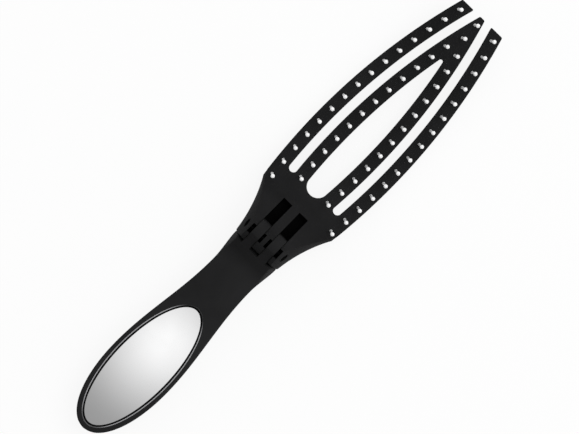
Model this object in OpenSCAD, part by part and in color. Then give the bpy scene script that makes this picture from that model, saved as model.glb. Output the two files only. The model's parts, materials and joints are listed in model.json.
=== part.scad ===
// Folding vent hairbrush with an oval mirror in its handle, lying open on its back.
// +X runs across the brush, +Y toward the rib tips, +Z toward the side of the pins and the mirror.
// Pieces are drawn from the hinge axis, and placed() sets them over the middle of the brush's box.

/* [Head] */
// Reach of the head from the hinge axis to the rib tips
head_reach = 126.6; // [122:0.2:132]
// Width of the head at its widest place
head_w = 43.8; // [41:0.2:47]
// Distance from the hinge axis to the widest place
head_wide_at = 52.5; // [48:0.5:58]
// How far each rib edge draws in from the widest place to the tips
head_taper = 10.6; // [9.6:0.1:11.4]
// Distance from the hinge axis to the shoulders of the head
shoulder_at = 18; // [16:0.5:20]
// Radius of the hollow side between the shoulder and the hinge
neck_r = 62.6; // [50:0.5:90]
// Width of the head at its hinge end
neck_w = 23.6; // [23:0.1:25]
// Depth of the widest line of the hinge end below the hinge axis
root_edge_drop = 12; // [10:0.5:14]
// Height of that widest line over the back, at the shoulders
shoulder_edge_rise = 1; // [0.6:0.1:3]
// Squareness of the back of the hinge end, where 2 is an ellipse
root_square = 4; // [2.5:0.5:6]
// Distance from the hinge axis at which the creases beside its front start to spread
crease_from = 2.6; // [1:0.1:4]
// Distance past the shoulders at which the creases run out in the outline of the head
crease_past = 2.8; // [2.2:0.1:4]
// Bow of the flanks under the creases, where 1 is straight and 2 is a parabola
flank_bow = 1.5; // [1.2:0.1:2]

/* [Ribs] */
// Width of a rib
rib_w = 6.25; // [5.8:0.05:6.6]
// Depth of a rib from front to back
rib_t = 6.5; // [5.5:0.1:7.5]
// Width of the gap between an outer and an inner rib
rib_gap = 3.75; // [3.2:0.05:4.2]
// Distance from the hinge axis to the closed end of the rib gaps
gap_root = 26.8; // [25.5:0.1:30]
// Distance from the hinge axis to the closed end of the middle opening
vent_root = 25.4; // [24:0.1:30]
// Half width at which the middle opening closes toward the tip
vent_tip_r = 0.9; // [0.7:0.1:1.5]

/* [Arch] */
// Radius of the back of the arched ribs, seen from the side
arch_r = 186; // [175:1:220]
// Distance from the hinge axis to the lowest place of the arch
arch_at = 69.5; // [66:0.5:73]
// Depth of the arch's back below the hinge axis
arch_drop = 24.8; // [24:0.1:26]
// Depth of the hinge end's back below the hinge axis
root_drop = 19.5; // [18.8:0.1:20.2]
// Distance from the hinge axis at which that back starts to rise to the arch
root_flat_to = 5; // [2:0.5:8]

/* [Hinge] */
// Radius of the hinge knuckles
knuckle_r = 5.8; // [5.5:0.1:6.1]
// Height over the hinge axis at which the 45 degree ramps of head and handle meet
ramp_top = 7.1; // [6.6:0.1:7.6]
// Radius of the steel hinge pin
hinge_pin_r = 1.5; // [1:0.05:1.8]
// Length of the hinge pin
hinge_pin_l = 18; // [16:0.2:19]
// Running clearance between the hinge pin and the handle's prongs
pin_clear = 0.05; // [0.02:0.01:0.1]
// Radius of the recess over each end of the hinge pin
pin_recess_r = 1.875; // [1.85:0.025:2.4]
// Width of each prong of the handle
prong_w = 4.3; // [3.8:0.1:4.6]
// Width of the tongue between the prongs
tongue_w = 4.2; // [3.6:0.1:4.6]
// Side clearance between the knuckles
knuckle_clear = 0.2; // [0.1:0.05:0.3]
// Clearance that the open head keeps from the handle's shoulder
parting = 0.5; // [0.3:0.1:0.8]
// Clearance between the ramp of the folded head and the handle
nose_clear = 0.25; // [0.15:0.05:0.4]
// Depth of the cut below the hinge axis that gives this clearance
nose_drop = 1.7; // [1.4:0.1:3]
// Length of the relief slots beside the prongs
slot_l = 4.4; // [3.8:0.1:5]
// Width of the relief slots in the ears
ear_slot_w = 1.5; // [1:0.1:1.8]
// Width of what each ear has left outside its slot, at the top
ear_edge = 0.3; // [0.2:0.05:0.6]
// Width of the relief slots in the tongue
tongue_slot_w = 1.15; // [0.8:0.05:1.3]
// Depth of the relief slots below the hinge pin
slot_drop = 0.7; // [0.4:0.1:1.2]
// Distance from the hinge axis to the far wall of the prong pockets
pocket_reach = 17.5; // [16:0.5:20]
// Wall between the prong pockets and the back of the head
pocket_wall = 2; // [1.6:0.1:2.6]
// Radius of the hollow between each hinge ramp and the face it meets
ramp_fillet = 9; // [5:0.5:10]

/* [Handle] */
// Reach of the handle from the hinge axis to its end
handle_reach = 108.5; // [106:0.5:114]
// Width of the handle at its hinge shoulder
handle_neck_w = 22.9; // [22:0.1:23.6]
// Width of the handle's waist
waist_w = 20.4; // [19:0.1:22]
// Distance from the hinge axis to the waist
waist_at = 20; // [18:0.5:24]
// Width of the paddle at its widest place
paddle_w = 29.9; // [29:0.1:33]
// Distance from the hinge axis to the widest place of the paddle
paddle_at = 74; // [70:0.5:76]
// Squareness of the paddle's end, seen from the front, where 2 is an ellipse
paddle_end_square = 2.1; // [1.9:0.05:2.4]
// Depth of the handle's front face below the hinge axis, at the foot of its ramp
front_drop = 6.3; // [5.8:0.1:6.8]
// Fall of the front face for each millimetre at the foot of its ramp
front_slope = 0.02; // [0:0.005:0.03]
// Radius of the slight bow of the front face, seen from the side
front_bow_r = 1390; // [1100:10:2500]
// Depth of the handle's back below the hinge axis, at the shoulder
back_drop = 18.4; // [17.8:0.1:18.8]
// Depth of the back at the waist
waist_drop = 15.4; // [14.8:0.1:16]
// Distance from the hinge axis to the thinnest place of the waist
waist_thin_at = 19; // [17:0.5:24]
// Depth of the back of the paddle
paddle_drop = 18; // [17.6:0.1:18.6]
// Distance from the hinge axis at which the back has this depth
paddle_full_at = 68; // [60:1:75]
// Length of the rounding at the end of the back
end_round = 10.5; // [8:0.5:12]
// Squareness of that rounding, where 2 is an ellipse
end_square = 3.2; // [2:0.1:4]
// Height of the handle's end wall
end_wall = 1.2; // [0.8:0.1:2]
// Wall of the handle beyond the hinge, under the prongs
lip_wall = 2; // [1.5:0.1:2.4]
// Reach of that wall past the hinge axis
lip_reach = 2.2; // [1.5:0.1:3]
// Depth of the prongs' heels below the hinge axis
heel_drop = 12.3; // [10:0.1:14]
// Clearance between the heels and the walls of the head
heel_clear = 0.7; // [0.4:0.1:1]
// Draw-in of each side of the hinge shoulder toward its front
neck_draft = 2.2; // [1.6:0.1:2.6]
// Depth of the widest line of the hinge shoulder below its front
neck_edge_drop = 12; // [10:0.5:13]
// Squareness of the back at the hinge shoulder, where 2 is an ellipse
neck_square = 5; // [3:0.5:6]
// Distance from the hinge axis at which the drafted sides have become rounded edges
neck_to = 18; // [16:0.5:22]
// Size of the rounded edges of the front face
edge_round = 1; // [0.6:0.1:1.6]
// Depth of the widest line of the paddle below its front
edge_drop = 1.5; // [1:0.1:3]
// Squareness of the back of the paddle, where 2 is an ellipse
paddle_square = 2.6; // [2:0.1:3.5]
// Distance from the hinge axis at which the back has this squareness
paddle_square_at = 45; // [35:1:60]

/* [Mirror] */
// Length of the mirror glass
mirror_l = 64.5; // [58:0.5:65]
// Width of the mirror glass
mirror_w = 24; // [22:0.2:24.6]
// Distance from the hinge axis to the middle of the mirror
mirror_at = 72.9; // [72:0.1:74]
// Thickness of the mirror glass
mirror_t = 1.6; // [1:0.1:2]
// Thickness of the adhesive pad behind the glass
mirror_pad_t = 0.4; // [0.2:0.1:0.6]
// Distance that the pad stays inside the edge of the glass
mirror_pad_inset = 1.2; // [0.8:0.1:3]
// Depth of the glass below the front face, at the mirror's ends
mirror_sink = 0.3; // [0.2:0.05:0.4]
// Clearance around the glass
mirror_clear = 0.1; // [0.05:0.05:0.2]
// Width of the groove around the glass
mirror_groove = 0.7; // [0.4:0.05:0.8]
// Depth of the groove below the face of the glass
groove_drop = 0.4; // [0.2:0.1:0.6]

/* [Back plate] */
// Length of the plate that closes the hollow of the handle
plate_l = 50; // [44:0.5:52]
// Width of the plate
plate_w = 17; // [15:0.5:18]
// Distance from the hinge axis to the middle of the plate
plate_at = 77; // [74:0.5:78]
// Thickness of the plate
plate_t = 2.2; // [1.8:0.1:2.6]
// Height of the plate above the handle's back
plate_proud = 0.6; // [0.4:0.1:1]
// Clearance around the plate
plate_clear = 0.1; // [0.05:0.05:0.2]
// Width of the rim that carries the plate
plate_rim = 2.2; // [1.6:0.1:3]
// Wall between the hollow and the mirror's seat
hollow_wall = 1.8; // [1.4:0.1:2.4]

/* [Pins] */
// Distance from the rib tips to the first row
first_row = 4; // [3:0.1:5]
// Distance from row to row
row_pitch = 7.25; // [6.5:0.05:9]
// Least distance from the hinge axis to the last row
last_row_at = 20.5; // [20:0.5:24]
// Radius of a pin's base
base_r = 0.6; // [0.55:0.05:0.7]
// Height of a pin's base above the rib
base_h = 0.5; // [0.3:0.1:1]
// Length over which a pin narrows from its base to its shaft
base_taper = 0.6; // [0.3:0.1:1]
// Depth to which a pin is set in the rib
base_set = 2.6; // [2:0.1:3.5]
// Radius of a pin's shaft
shaft_r = 0.48; // [0.35:0.02:0.55]
// Radius of the ball on a pin's tip
ball_r = 0.85; // [0.75:0.05:1.1]
// Reach of the pins above the rib, in the middle of the arch
pin_reach = 18.6; // [16:0.1:19]
// Radius of the arc that the pin tips follow, seen from the side
tip_arc_r = 215; // [210:1:260]
// Lean of the pins toward +X, in degrees
pin_lean = 4; // [0:0.5:5]
// Distance that a pin's root stands to the other side of its rib's middle
lean_offset = 0.45; // [0:0.05:0.6]
// Least distance of an inner pin from the middle of the head, below which a pair becomes one pin
pair_least = 2; // [1.5:0.1:2.6]

/* [Hidden] */
row_count = floor((head_reach - first_row - last_row_at) / row_pitch) + 1;
function row_name(i) = str("pin_row_", i < 10 ? "0" : "", i);

arc_fn = 180;
bore_fn = 64;
pin_fn = 24;
// Length beyond everything, for cutting solids.
far = 60;
// Lap by which joined solids run into each other, and extra radius of a gap's round ends.
lap = 0.1;
round_over = lap / 2;
hinge_y = (handle_reach - head_reach) / 2;
hinge_z = arch_drop;

// Plan of the head: every rib edge is the same bow, set at its own half width.
edge_run = head_reach - head_wide_at;
edge_r = (edge_run * edge_run + head_taper * head_taper) / (2 * head_taper);
half_outer = head_w / 2;
half_gap_out = half_outer - rib_w;
half_gap_in = half_gap_out - rib_gap;
half_vent = half_gap_in - rib_w;
function drawn_in(u) = edge_r - sqrt(pow(edge_r, 2) - pow(u - head_wide_at, 2));
function run_for(depth) = sqrt(depth * (2 * edge_r - depth));

// Side profile of the head and of the hinge.
arch_z = arch_r - arch_drop;
front_r = arch_r - rib_t;
function arch_front(u) = arch_z - sqrt(pow(front_r, 2) - pow(u - arch_at, 2));
function arch_back(u) = arch_z - sqrt(pow(arch_r, 2) - pow(u - arch_at, 2));
function root_back(u) =
    let (rise = arch_back(shoulder_at) + lap + root_drop)
    u < shoulder_at ? -root_drop + rise * max(0, u - root_flat_to) / (shoulder_at - root_flat_to)
    : arch_back(u) + lap;
ramp_a = 45 + acos(ramp_top / sqrt(2) / knuckle_r);
shoulder_u = knuckle_r + parting;
nose_u = ramp_top + nose_clear;

// Foot of the head's ramp, where its 45 degree line meets the front of the arch, and its hollow.
foot_sum = arch_at + ramp_top - arch_z;
foot_gap = arch_at - ramp_top + arch_z;
head_foot_u = (foot_sum + sqrt(2 * pow(front_r, 2) - pow(foot_gap, 2))) / 2;
arch_fall = asin((arch_at - head_foot_u) / front_r);
hollow_run = ramp_fillet * tan((45 - arch_fall) / 2);
hollow_c = [head_foot_u, ramp_top - head_foot_u] + hollow_run * [-cos(45), sin(45)]
    + ramp_fillet * [cos(45), sin(45)];
root_end_u = head_foot_u + hollow_run + 5 * lap;

// Knuckles from the middle outward: tongue, prong, ear.
prong_in = tongue_w / 2 + knuckle_clear;
prong_out = prong_in + prong_w;
ear_in = prong_out + knuckle_clear;

// Front face of the handle, as a depth over the distance u from the hinge axis.
foot_u = ramp_top + front_drop + ramp_fillet * tan(22.5);
ramp_end_u = foot_u - ramp_fillet * sin(45);
foot_z = -front_drop + ramp_fillet;
function handle_front(u) =
    u < ramp_end_u ? ramp_top - u
    : u < foot_u ? foot_z - sqrt(pow(ramp_fillet, 2) - pow(foot_u - u, 2))
    : -front_drop - front_slope * (u - foot_u) - pow(u - foot_u, 2) / (2 * front_bow_r);

// Mirror seat: a flat chord of the front face.
mirror_a = mirror_l / 2;
mirror_b = mirror_w / 2;
chord_near = handle_front(mirror_at - mirror_a);
chord_far = handle_front(mirror_at + mirror_a);
mirror_tilt = asin((chord_near - chord_far) / mirror_l);
mirror_face_z = (chord_near + chord_far) / 2 - mirror_sink;
mirror_seat = mirror_t + mirror_pad_t;

plate_z = -paddle_drop - plate_proud;
hollow_a = plate_l / 2 - plate_rim;
hollow_b = plate_w / 2 - plate_rim;
function mirror_plane(u) = mirror_face_z - (u - mirror_at) * tan(mirror_tilt);
hollow_top = mirror_plane(plate_at + hollow_a) - mirror_seat - hollow_wall;

// Eases from a to b as u goes from u0 to u1.
function ease(u, u0, u1, a, b) =
    u <= u0 ? a : u >= u1 ? b : a + (b - a) * (1 - cos(180 * (u - u0) / (u1 - u0))) / 2;

function handle_half(u) =
    u < waist_at ? ease(u, shoulder_u, waist_at, handle_neck_w / 2, waist_w / 2)
    : u < paddle_at ? ease(u, waist_at, paddle_at, waist_w / 2, paddle_w / 2)
    : paddle_w / 2 * pow(
        1 - pow((u - paddle_at) / (handle_reach - paddle_at), paddle_end_square), 1 / paddle_end_square
    );

// Least half width of a cross-section, at the end of the handle.
end_least = 0.4;

end_low = handle_front(handle_reach) - end_wall;
function handle_back(u) =
    u < waist_thin_at ? -ease(u, shoulder_u, waist_thin_at, back_drop, waist_drop)
    : u < handle_reach - end_round ? -ease(u, waist_thin_at, paddle_full_at, waist_drop, paddle_drop)
    : end_low - (paddle_drop + end_low)
        * pow(1 - pow((u - handle_reach + end_round) / end_round, end_square), 1 / end_square);

// Half width of the head's neck: a hollow arc from the shoulder to the hinge end.
neck_p = [half_outer - drawn_in(shoulder_at) - lap, shoulder_at];
neck_q = [neck_w / 2, -knuckle_r];
neck_mid = (neck_p + neck_q) / 2;
neck_half_chord = norm(neck_p - neck_q) / 2;
neck_dir = (neck_p - neck_q) / norm(neck_p - neck_q);
neck_c = neck_mid + sqrt(pow(neck_r, 2) - pow(neck_half_chord, 2)) * [neck_dir[1], -neck_dir[0]];
function neck_half(u) = neck_c[0] - sqrt(pow(neck_r, 2) - pow(u - neck_c[1], 2));

// Flanks of the hinge end: a crease along each side of its front, and the widest line below it.
crease_half = ear_in + ear_slot_w + ear_edge;
crease_to = shoulder_at + crease_past;
function head_half(u) = u < shoulder_at ? neck_half(u) : half_outer - drawn_in(u);
function crease(u) =
    crease_half + (head_half(crease_to) - crease_half) * max(0, u - crease_from) / (crease_to - crease_from);
function widest_z(u) =
    ease(u, 0, shoulder_at, -root_edge_drop, root_back(shoulder_at) + shoulder_edge_rise);
function root_front(u) =
    u < knuckle_r * cos(ramp_a) ? sqrt(max(0, pow(knuckle_r, 2) - u * u))
    : u < hollow_c[0] - ramp_fillet * cos(45) ? ramp_top - u
    : u > hollow_c[0] - ramp_fillet * sin(arch_fall) ? arch_front(u)
    : hollow_c[1] - sqrt(pow(ramp_fillet, 2) - pow(u - hollow_c[0], 2));

function arc(c, r, a0, a1, n) =
    [for (i = [0 : n]) let (a = a0 + (a1 - a0) * i / n) c + r * [cos(a), sin(a)]];

// Cross-section: flat front of half width half - inset, flanks down to the widest line, rounded back.
// bulge turns a straight flank (0) into a quarter round (1).
function section(half, inset, front, widest, back, power, bulge) =
    let (
        flank = [for (i = [0 : 3]) let (a = 30 * i, k = i / 3) [
            half - inset + inset * (k + bulge * (sin(a) - k)),
            front + (widest - front) * (k + bulge * (1 - cos(a) - k))
        ]],
        hull_side = [for (i = [1 : 7]) let (a = 90 * i / 8) [
            half * pow(cos(a), 2 / power),
            widest + (back - widest) * pow(sin(a), 2 / power)
        ]],
        side = concat(flank, hull_side),
        last = len(side) - 1
    )
    concat([[0, back]], [for (i = [last : -1 : 0]) [-side[i][0], side[i][1]]], side);

// Solid through a list of cross-sections, each with its place along Y, in rising order.
module loft(sections, places) {
    n = len(sections[0]);
    m = len(sections);
    polyhedron(
        points = [for (j = [0 : m - 1]) for (p = sections[j]) [p[0], places[j], p[1]]],
        faces = concat(
            [[for (i = [0 : n - 1]) i]],
            [for (j = [0 : m - 2]) for (i = [0 : n - 1])
                [j * n + i, (j + 1) * n + i, j * n + (i + 1) % n]],
            [for (j = [0 : m - 2]) for (i = [0 : n - 1])
                [j * n + (i + 1) % n, (j + 1) * n + i, (j + 1) * n + (i + 1) % n]],
            [[for (i = [n - 1 : -1 : 0]) (m - 1) * n + i]]
        )
    );
}

module placed() {
    translate([0, hinge_y, hinge_z]) children();
}

// Prism across the brush from x0 to x1, with a side profile given as [y, z] points.
module across(points, x0, x1) {
    translate([x0, 0, 0]) rotate([90, 0, 90]) linear_extrude(height = x1 - x0) polygon(points);
}

module cylinder_x(r, half, fn) {
    rotate([0, 90, 0]) cylinder(r = r, h = 2 * half, center = true, $fn = fn);
}

module both_sides() {
    children();
    mirror([1, 0, 0]) children();
}

// Plan area between two bows, left and right, as a tall solid.
module lens(half) {
    intersection() {
        tall_round(half - edge_r, head_wide_at, edge_r, arc_fn);
        tall_round(edge_r - half, head_wide_at, edge_r, arc_fn);
    }
}

module tall_block(half, u0, u1) {
    translate([-half, u0, -far / 2]) cube([2 * half, u1 - u0, far]);
}

module tall_round(x, u, r, fn = bore_fn) {
    translate([x, u, -far / 2]) cylinder(r = r, h = far, $fn = fn);
}

module rib_gaps() {
    r = rib_gap / 2;
    u = gap_root + r;
    x = (half_gap_out + half_gap_in) / 2 - drawn_in(u);
    intersection() {
        difference() {
            lens(half_gap_out);
            lens(half_gap_in);
        }
        tall_block(half_outer, u, head_reach + 1);
    }
    both_sides() tall_round(x, u, r + round_over);
}

module middle_vent() {
    near_u = vent_root + half_vent - drawn_in(vent_root + half_vent);
    near_r = half_vent - drawn_in(near_u);
    far_u = head_wide_at + run_for(half_vent - vent_tip_r);
    intersection() {
        lens(half_vent);
        tall_block(half_vent, near_u, far_u);
    }
    tall_round(0, near_u, near_r + round_over);
    tall_round(0, far_u, vent_tip_r + round_over);
}

module ribs() {
    difference() {
        intersection() {
            translate([0, arch_at, arch_z]) cylinder_x(arch_r, half_outer, arc_fn);
            lens(half_outer);
            translate([-half_outer, shoulder_at - lap, -far])
                cube([2 * half_outer, head_reach - shoulder_at + lap, far]);
        }
        translate([0, arch_at, arch_z]) cylinder_x(front_r, half_outer + 1, arc_fn);
        rib_gaps();
        middle_vent();
    }
}

// Distances of the hinge end's cross-sections from the hinge axis.
root_places = concat(
    [for (a = [180 : -15 : 90]) knuckle_r * cos(a)],
    [for (i = [1 : 9]) shoulder_at * i / 9]
);

// Hinge end of the head, before its pockets: a block under a round knuckle and a 45 degree ramp.
module root_block() {
    places = concat(root_places, [root_end_u]);
    intersection() {
        loft([for (u = places) section(
                head_half(u) - (u < shoulder_at ? 0 : lap),
                0,
                ramp_top,
                widest_z(u),
                root_back(u),
                root_square,
                0
            )],
            places);
        across(concat(
            [[-knuckle_r, -far]],
            arc([0, 0], knuckle_r, 180, ramp_a, 10),
            arc(hollow_c, ramp_fillet, 225, 270 - arch_fall, 6),
            [[root_end_u, arch_front(root_end_u) - lap], [root_end_u, -far]]
        ), -half_outer, half_outer);
    }
}

// What the bowed flanks leave off each side of the hinge end, between the crease and the widest line.
module flank_cuts() {
    wide = half_outer + 1;
    places = concat([-knuckle_r - 1], root_places, [(shoulder_at + crease_to) / 2, crease_to]);
    both_sides() loft([for (u = places) let (
            half = max(crease(u), head_half(u)) + round_over,
            low = widest_z(u),
            rise = root_front(u) - low,
            slant = [for (v = [0, 0.3, 0.6, 0.9, 1.2])
                [half - (half - crease(u)) * pow(v, flank_bow), low + rise * v]]
        )
        concat(slant, [[slant[4][0], ramp_top + rise], [wide, ramp_top + rise], [wide, low]])],
        places);
}

// Pockets that take the prongs, the open hinge end between the ears, and the relief slots.
module hinge_pockets() {
    slot_floor = -hinge_pin_r - slot_drop;
    pocket = [
        [-far, -root_drop + pocket_wall], [root_flat_to, -root_drop + pocket_wall],
        [pocket_reach, root_back(pocket_reach) + pocket_wall], [pocket_reach, far], [-far, far]
    ];
    both_sides() {
        across(pocket, tongue_w / 2, ear_in);
        translate([ear_in - lap, -slot_l / 2, slot_floor]) cube([ear_slot_w + lap, slot_l, far]);
        translate([tongue_w / 2 - tongue_slot_w, -slot_l / 2, slot_floor])
            cube([tongue_slot_w + lap, slot_l, far]);
    }
    translate([-ear_in, -far, -far])
        cube([2 * ear_in, far + lip_reach + parting, far - heel_drop - heel_clear]);
}

module pin_recesses() {
    both_sides() translate([hinge_pin_l / 2, 0, 0]) rotate([0, 90, 0])
        cylinder(r = pin_recess_r, h = half_outer, $fn = bore_fn);
}

module head_frame() {
    color([0.06, 0.06, 0.065]) placed() difference() {
        union() {
            ribs();
            root_block();
        }
        flank_cuts();
        hinge_pockets();
        cylinder_x(hinge_pin_r, hinge_pin_l, bore_fn);
        pin_recesses();
        for (i = [1 : row_count]) for (x = row_places(i)) pin_at(x, row_u(i)) pin_socket();
    }
}

// Pins
function row_u(i) = head_reach - first_row - (i - 1) * row_pitch;
function tip_z(u) =
    arch_front(arch_at) + pin_reach + tip_arc_r - sqrt(pow(tip_arc_r, 2) - pow(u - arch_at, 2));
function row_places(i) =
    let (
        u = row_u(i),
        outer = half_outer - rib_w / 2 - drawn_in(u),
        inner = half_gap_in - rib_w / 2 - drawn_in(u)
    )
    u < gap_root ? [-outer, outer]
    : inner < pair_least ? [-outer, 0, outer]
    : [-outer, -inner, inner, outer];

module pin_at(x, u) {
    translate([x - lean_offset, u, arch_front(u)]) rotate([0, pin_lean, 0]) children();
}

module pin_socket() {
    translate([0, 0, -base_set]) cylinder(r = base_r, h = base_set + base_h, $fn = pin_fn);
}

module pin(length) {
    rotate_extrude($fn = pin_fn) polygon(concat(
        [[0, -base_set], [base_r, -base_set], [base_r, base_h], [shaft_r, base_h + base_taper]],
        [for (i = [0 : 8]) let (
            low = asin(shaft_r / ball_r) - 90,
            a = low + (90 - low) * i / 8
        ) [ball_r * cos(a) * (i == 8 ? 0 : 1), length - ball_r + ball_r * sin(a)]]
    ));
}

module pin_row(i) {
    u = row_u(i);
    length = (tip_z(u) - arch_front(u)) / cos(pin_lean);
    color([0.93, 0.94, 0.94]) placed() for (x = row_places(i)) pin_at(x, u) pin(length);
}

module hinge_pin() {
    color([0.12, 0.12, 0.13]) placed() cylinder_x(hinge_pin_r, hinge_pin_l / 2, bore_fn);
}

// Handle
function oval(a, b) = [for (i = [0 : 71]) [b * cos(5 * i), a * sin(5 * i)]];

module mirror_frame() {
    translate([0, -mirror_at, mirror_face_z]) rotate([mirror_tilt, 0, 0]) children();
}

module oval_block(a, b, z0, z1) {
    translate([0, 0, z0]) linear_extrude(height = z1 - z0) polygon(oval(a, b));
}

// Distances of the handle's cross-sections from the hinge axis, from its end to its shoulder.
handle_places = concat(
    [handle_reach],
    [for (i = [11 : -1 : 1]) paddle_at + (handle_reach - paddle_at) * sin(8 * i)],
    [for (i = [11 : -1 : 1]) foot_u + (paddle_at - foot_u) * i / 11],
    [for (i = [7 : -1 : 0]) shoulder_u + (foot_u - shoulder_u) * i / 7]
);

module handle_shell() {
    loft([for (u = handle_places) let (
            half = max(handle_half(u), end_least),
            front = handle_front(u),
            depth = front - handle_back(u)
        )
        section(
            half,
            min(ease(u, shoulder_u, neck_to, neck_draft, edge_round), half * 0.8),
            front,
            front - min(ease(u, shoulder_u, neck_to, neck_edge_drop, edge_drop), depth * 0.7),
            handle_back(u),
            ease(u, shoulder_u, paddle_square_at, neck_square, paddle_square),
            ease(u, shoulder_u, neck_to, 0, 1)
        )],
        [for (u = handle_places) -u]
    );
}

// Clearance cuts beside the prongs, so that the folded head's ramp stays clear of the handle.
module nose_cuts() {
    profile = [
        [-nose_u, ramp_top - nose_u], [-nose_u - lap, far],
        [0, far], [0, -nose_drop], [-shoulder_u, -nose_drop]
    ];
    across(profile, -prong_in, prong_in);
    both_sides() across(profile, prong_out, half_outer);
}

module prongs() {
    foot_z = -back_drop + lip_wall / 2;
    profile = concat(
        [[-shoulder_u, foot_z], [-shoulder_u, ramp_top - shoulder_u]],
        arc([0, 0], knuckle_r, 180 - ramp_a, 0, 10),
        [[knuckle_r, -heel_drop], [lip_reach, -heel_drop], [lip_reach, foot_z]]
    );
    both_sides() across(profile, prong_in, prong_out);
}

module lip() {
    translate([-prong_out, -shoulder_u - lip_wall, -back_drop])
        cube([2 * prong_out, shoulder_u + lip_wall + lip_reach, lip_wall]);
}

module handle_body() {
    color([0.06, 0.06, 0.065]) placed() difference() {
        union() {
            difference() {
                handle_shell();
                nose_cuts();
            }
            prongs();
            lip();
        }
        cylinder_x(hinge_pin_r + pin_clear, half_outer, bore_fn);
        mirror_frame() {
            oval_block(mirror_a + mirror_clear, mirror_b + mirror_clear, -mirror_seat, far);
            oval_block(mirror_a + mirror_groove, mirror_b + mirror_groove, -groove_drop, far);
        }
        translate([0, -plate_at, 0]) {
            oval_block(plate_l / 2 + plate_clear, plate_w / 2 + plate_clear, -far, plate_z + plate_t);
            oval_block(hollow_a, hollow_b, -far, hollow_top);
        }
    }
}

module back_plate() {
    color([0.07, 0.07, 0.075]) placed() translate([0, -plate_at, 0])
        oval_block(plate_l / 2, plate_w / 2, plate_z, plate_z + plate_t);
}

module mirror_glass() {
    color([0.8, 0.82, 0.84]) placed() mirror_frame()
        oval_block(mirror_a, mirror_b, -mirror_t, 0);
}

module mirror_pad() {
    color([0.2, 0.2, 0.2]) placed() mirror_frame() oval_block(
        mirror_a - mirror_pad_inset, mirror_b - mirror_pad_inset, -mirror_seat, -mirror_t
    );
}

head_frame();
hinge_pin();
handle_body();
back_plate();
mirror_glass();
mirror_pad();
for (i = [1 : row_count]) pin_row(i);
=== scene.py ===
# Folding hairbrush with an oval mirror in its handle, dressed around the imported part.
# Shapes are drawn in millimetres from the hinge axis: x across, u toward the rib tips, z toward the pins.
import bpy
import bmesh
import json
from math import acos, asin, ceil, cos, degrees, hypot, pi, radians, sin, sqrt, tan
from mathutils import Matrix, Vector


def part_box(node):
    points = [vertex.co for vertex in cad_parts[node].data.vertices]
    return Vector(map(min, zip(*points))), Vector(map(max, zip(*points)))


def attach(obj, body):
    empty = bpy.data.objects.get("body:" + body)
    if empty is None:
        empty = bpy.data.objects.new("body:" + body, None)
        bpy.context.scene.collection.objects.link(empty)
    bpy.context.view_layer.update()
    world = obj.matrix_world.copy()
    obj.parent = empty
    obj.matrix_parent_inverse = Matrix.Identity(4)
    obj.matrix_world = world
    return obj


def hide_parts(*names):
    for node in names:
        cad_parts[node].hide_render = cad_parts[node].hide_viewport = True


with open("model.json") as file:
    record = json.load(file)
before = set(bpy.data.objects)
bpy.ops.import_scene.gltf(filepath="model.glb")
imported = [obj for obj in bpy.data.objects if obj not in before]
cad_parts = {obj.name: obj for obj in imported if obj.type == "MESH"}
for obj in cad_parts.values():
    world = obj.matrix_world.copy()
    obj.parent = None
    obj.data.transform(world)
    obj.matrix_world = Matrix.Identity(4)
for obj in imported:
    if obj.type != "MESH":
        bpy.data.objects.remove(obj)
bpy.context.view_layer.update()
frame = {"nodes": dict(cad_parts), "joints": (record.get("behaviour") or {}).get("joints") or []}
mm = 0.001
overlap = 0.1  # millimetres that joined shapes run into each other, and cutters past what they cut
hair = 0.02  # the same where it has to stay unseen
far = 60  # millimetres, past every face that a cutter has to clear
hingeAt = Vector(frame["joints"][0]["pos_m"])
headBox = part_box("head_frame")
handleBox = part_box("handle_body")
print("frame loaded:", len(frame["nodes"]), "nodes")


# Even steps from a to b, none longer than size.
def stepsBetween(a, b, size):
    count = max(1, ceil(abs(b - a) / size))
    return [a + (b - a) * i / count for i in range(count + 1)]


# Goes softly from a to b as u goes from start to end.
def ease(u, start, end, a, b):
    t = min(1, max(0, (u - start) / (end - start)))
    return a + (b - a) * (1 - cos(pi * t)) / 2


def arcPoints(cx, cy, r, fromDeg, toDeg, count):
    turns = [radians(fromDeg + (toDeg - fromDeg) * i / count) for i in range(count + 1)]
    return [(cx + r * cos(a), cy + r * sin(a)) for a in turns]


def newPiece(name, bm):
    bmesh.ops.recalc_face_normals(bm, faces=bm.faces)
    mesh = bpy.data.meshes.new(name)
    bm.to_mesh(mesh)
    bm.free()
    piece = bpy.data.objects.new(name, mesh)
    bpy.context.scene.collection.objects.link(piece)
    return piece


# Joins rows of points, each a closed loop, with a band of faces from each row to the next.
def stitch(bm, rows):
    n = len(rows[0])
    for low, high in zip(rows, rows[1:]):
        for i in range(n):
            bm.faces.new((low[i], low[(i + 1) % n], high[(i + 1) % n], high[i]))


def loft(name, rings):
    bm = bmesh.new()
    rows = [[bm.verts.new(p) for p in ring] for ring in rings]
    stitch(bm, rows)
    bm.faces.new(list(reversed(rows[0])))
    bm.faces.new(rows[-1])
    return newPiece(name, bm)


def block(name, low, high):
    corners = [(low[0], low[2]), (high[0], low[2]), (high[0], high[2]), (low[0], high[2])]
    return loft(name, [[(x, y, z) for x, z in corners] for y in (low[1], high[1])])


def prismAcross(name, profile, x0, x1):
    return loft(name, [[(x, y, z) for y, z in profile] for x in (x0, x1)])


def rod(name, r, x0, x1, count=48):
    turns = [2 * pi * i / count for i in range(count)]
    return loft(name, [[(x, r * cos(a), r * sin(a)) for a in turns] for x in (x0, x1)])


def applyModifiers(piece):
    seen = piece.evaluated_get(bpy.context.evaluated_depsgraph_get())
    mesh = bpy.data.meshes.new_from_object(seen)
    piece.modifiers.clear()
    old = piece.data
    piece.data = mesh
    bpy.data.meshes.remove(old)
    mesh.name = piece.name


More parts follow.
